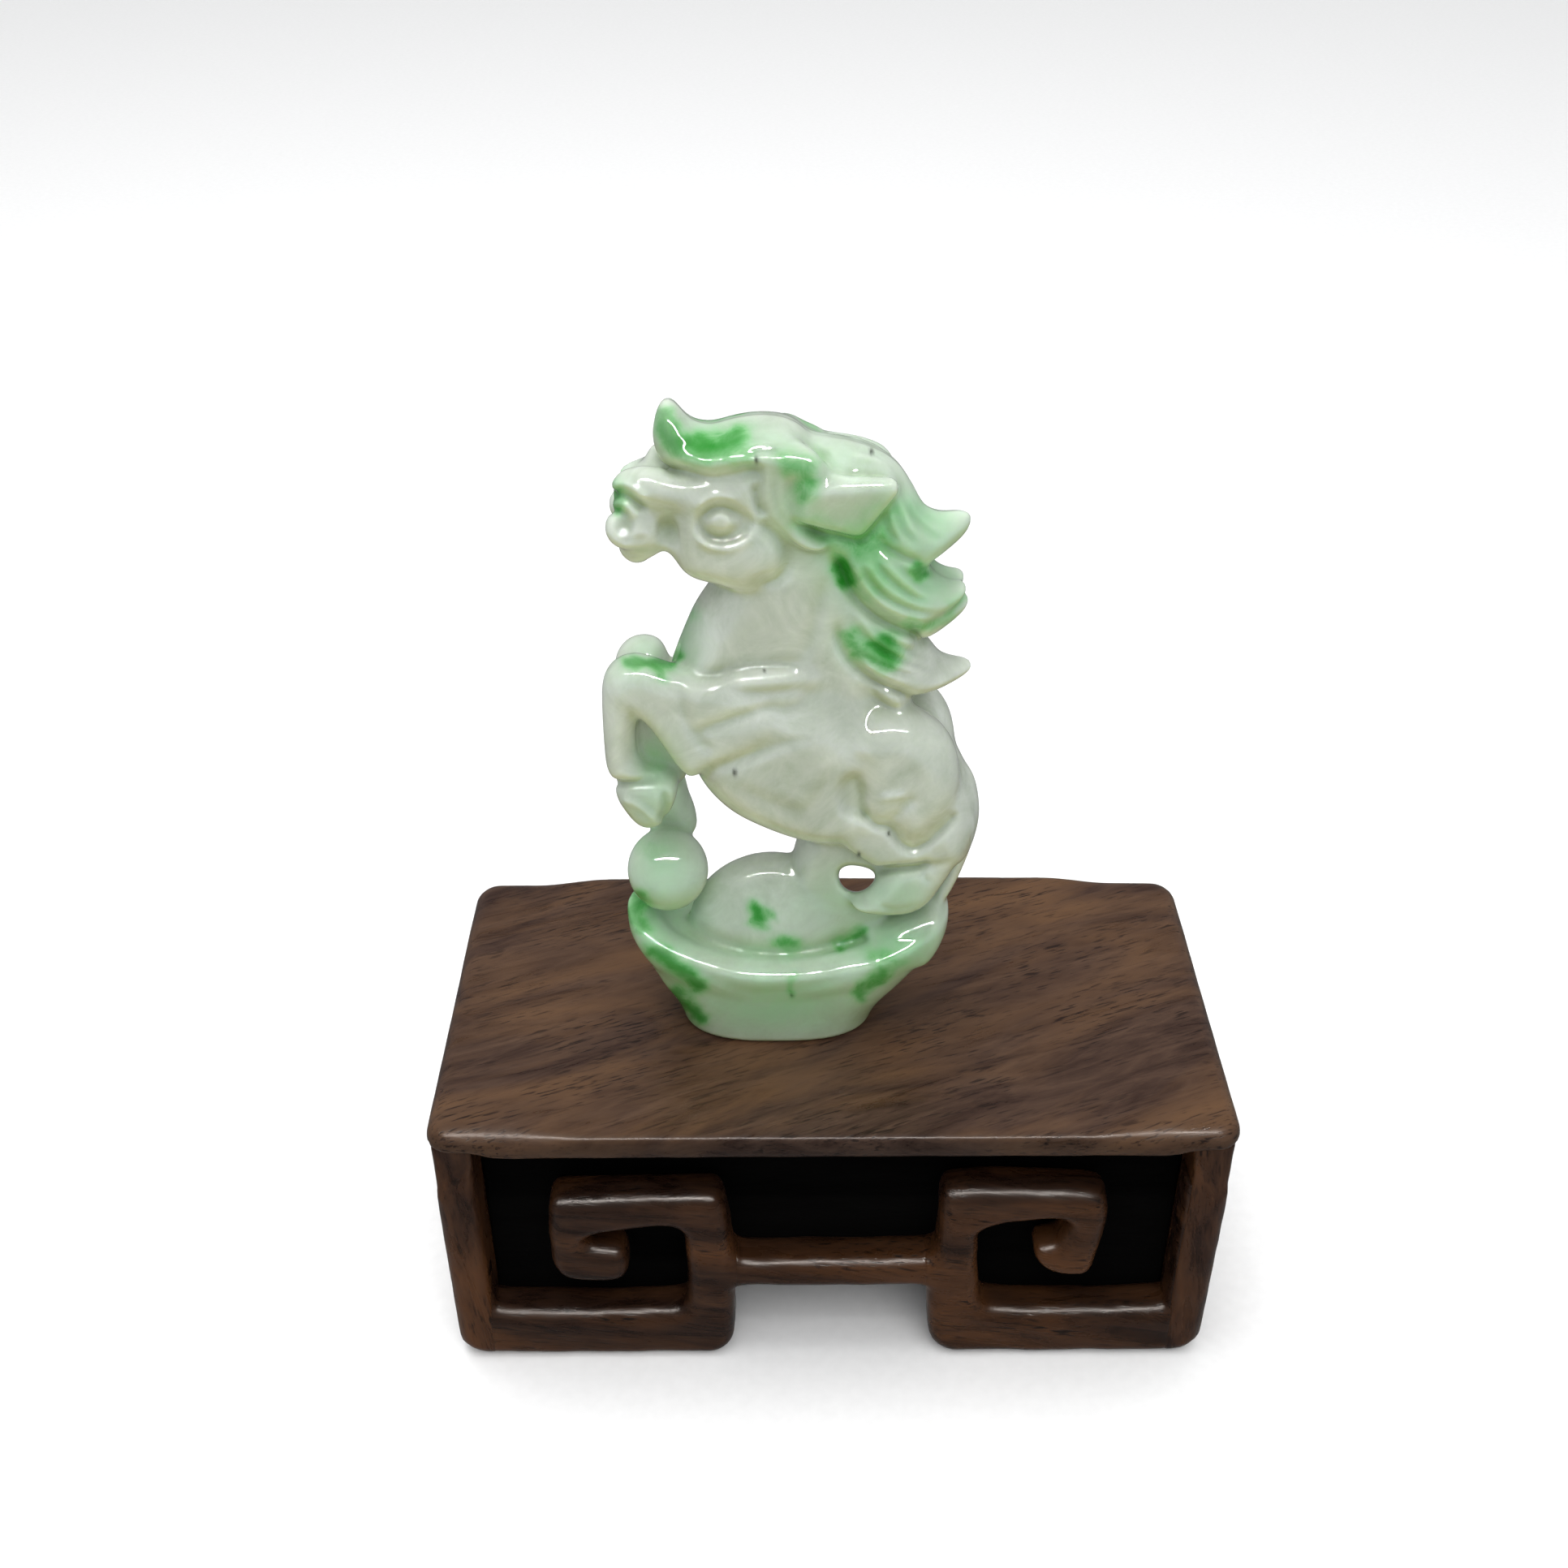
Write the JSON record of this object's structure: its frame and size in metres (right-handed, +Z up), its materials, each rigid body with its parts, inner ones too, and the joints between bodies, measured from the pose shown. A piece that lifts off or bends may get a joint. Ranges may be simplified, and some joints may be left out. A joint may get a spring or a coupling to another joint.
{
  "type": "jade figurine on a wooden stand",
  "caption": "Carved pale green jade horse rearing on a boat-shaped ingot, standing free on a small low dark wooden table stand with key-fret feet.",
  "frame": {"origin": "centre of the stand's plan, on the table, which is the bottom centre of the whole object's bounding box", "axes": "+Z up, +X along the stand's width to the viewer's right, +Y away from the viewer; the front of the stand faces -Y and the horse looks towards -X"},
  "size_m": [0.1, 0.051, 0.1261],
  "materials": {
    "jade": "polished, translucent, milky with green patches",
    "rosewood": "dark satin",
    "black_wood": "black stained, matt",
    "dowel_wood": "unfinished"
  },
  "bodies": {
    "stand": {"top_board": "rosewood", "left_side_board": "rosewood", "right_side_board": "rosewood", "front_left_fret": "rosewood", "front_right_fret": "rosewood", "back_left_fret": "rosewood", "back_right_fret": "rosewood", "front_stretcher": "rosewood", "back_stretcher": "rosewood", "front_ground_panel": "black_wood", "back_ground_panel": "black_wood", "top_dowels": "dowel_wood", "fret_dowels": "dowel_wood"},
    "figurine": {"jade_horse": "jade"}
  },
  "joints": [
    {"name": "figurine_lift", "type": "slide", "parent": "stand", "child": "figurine", "axis": [0, 0, 1], "range_m": [0, 0.1]}
  ]
}
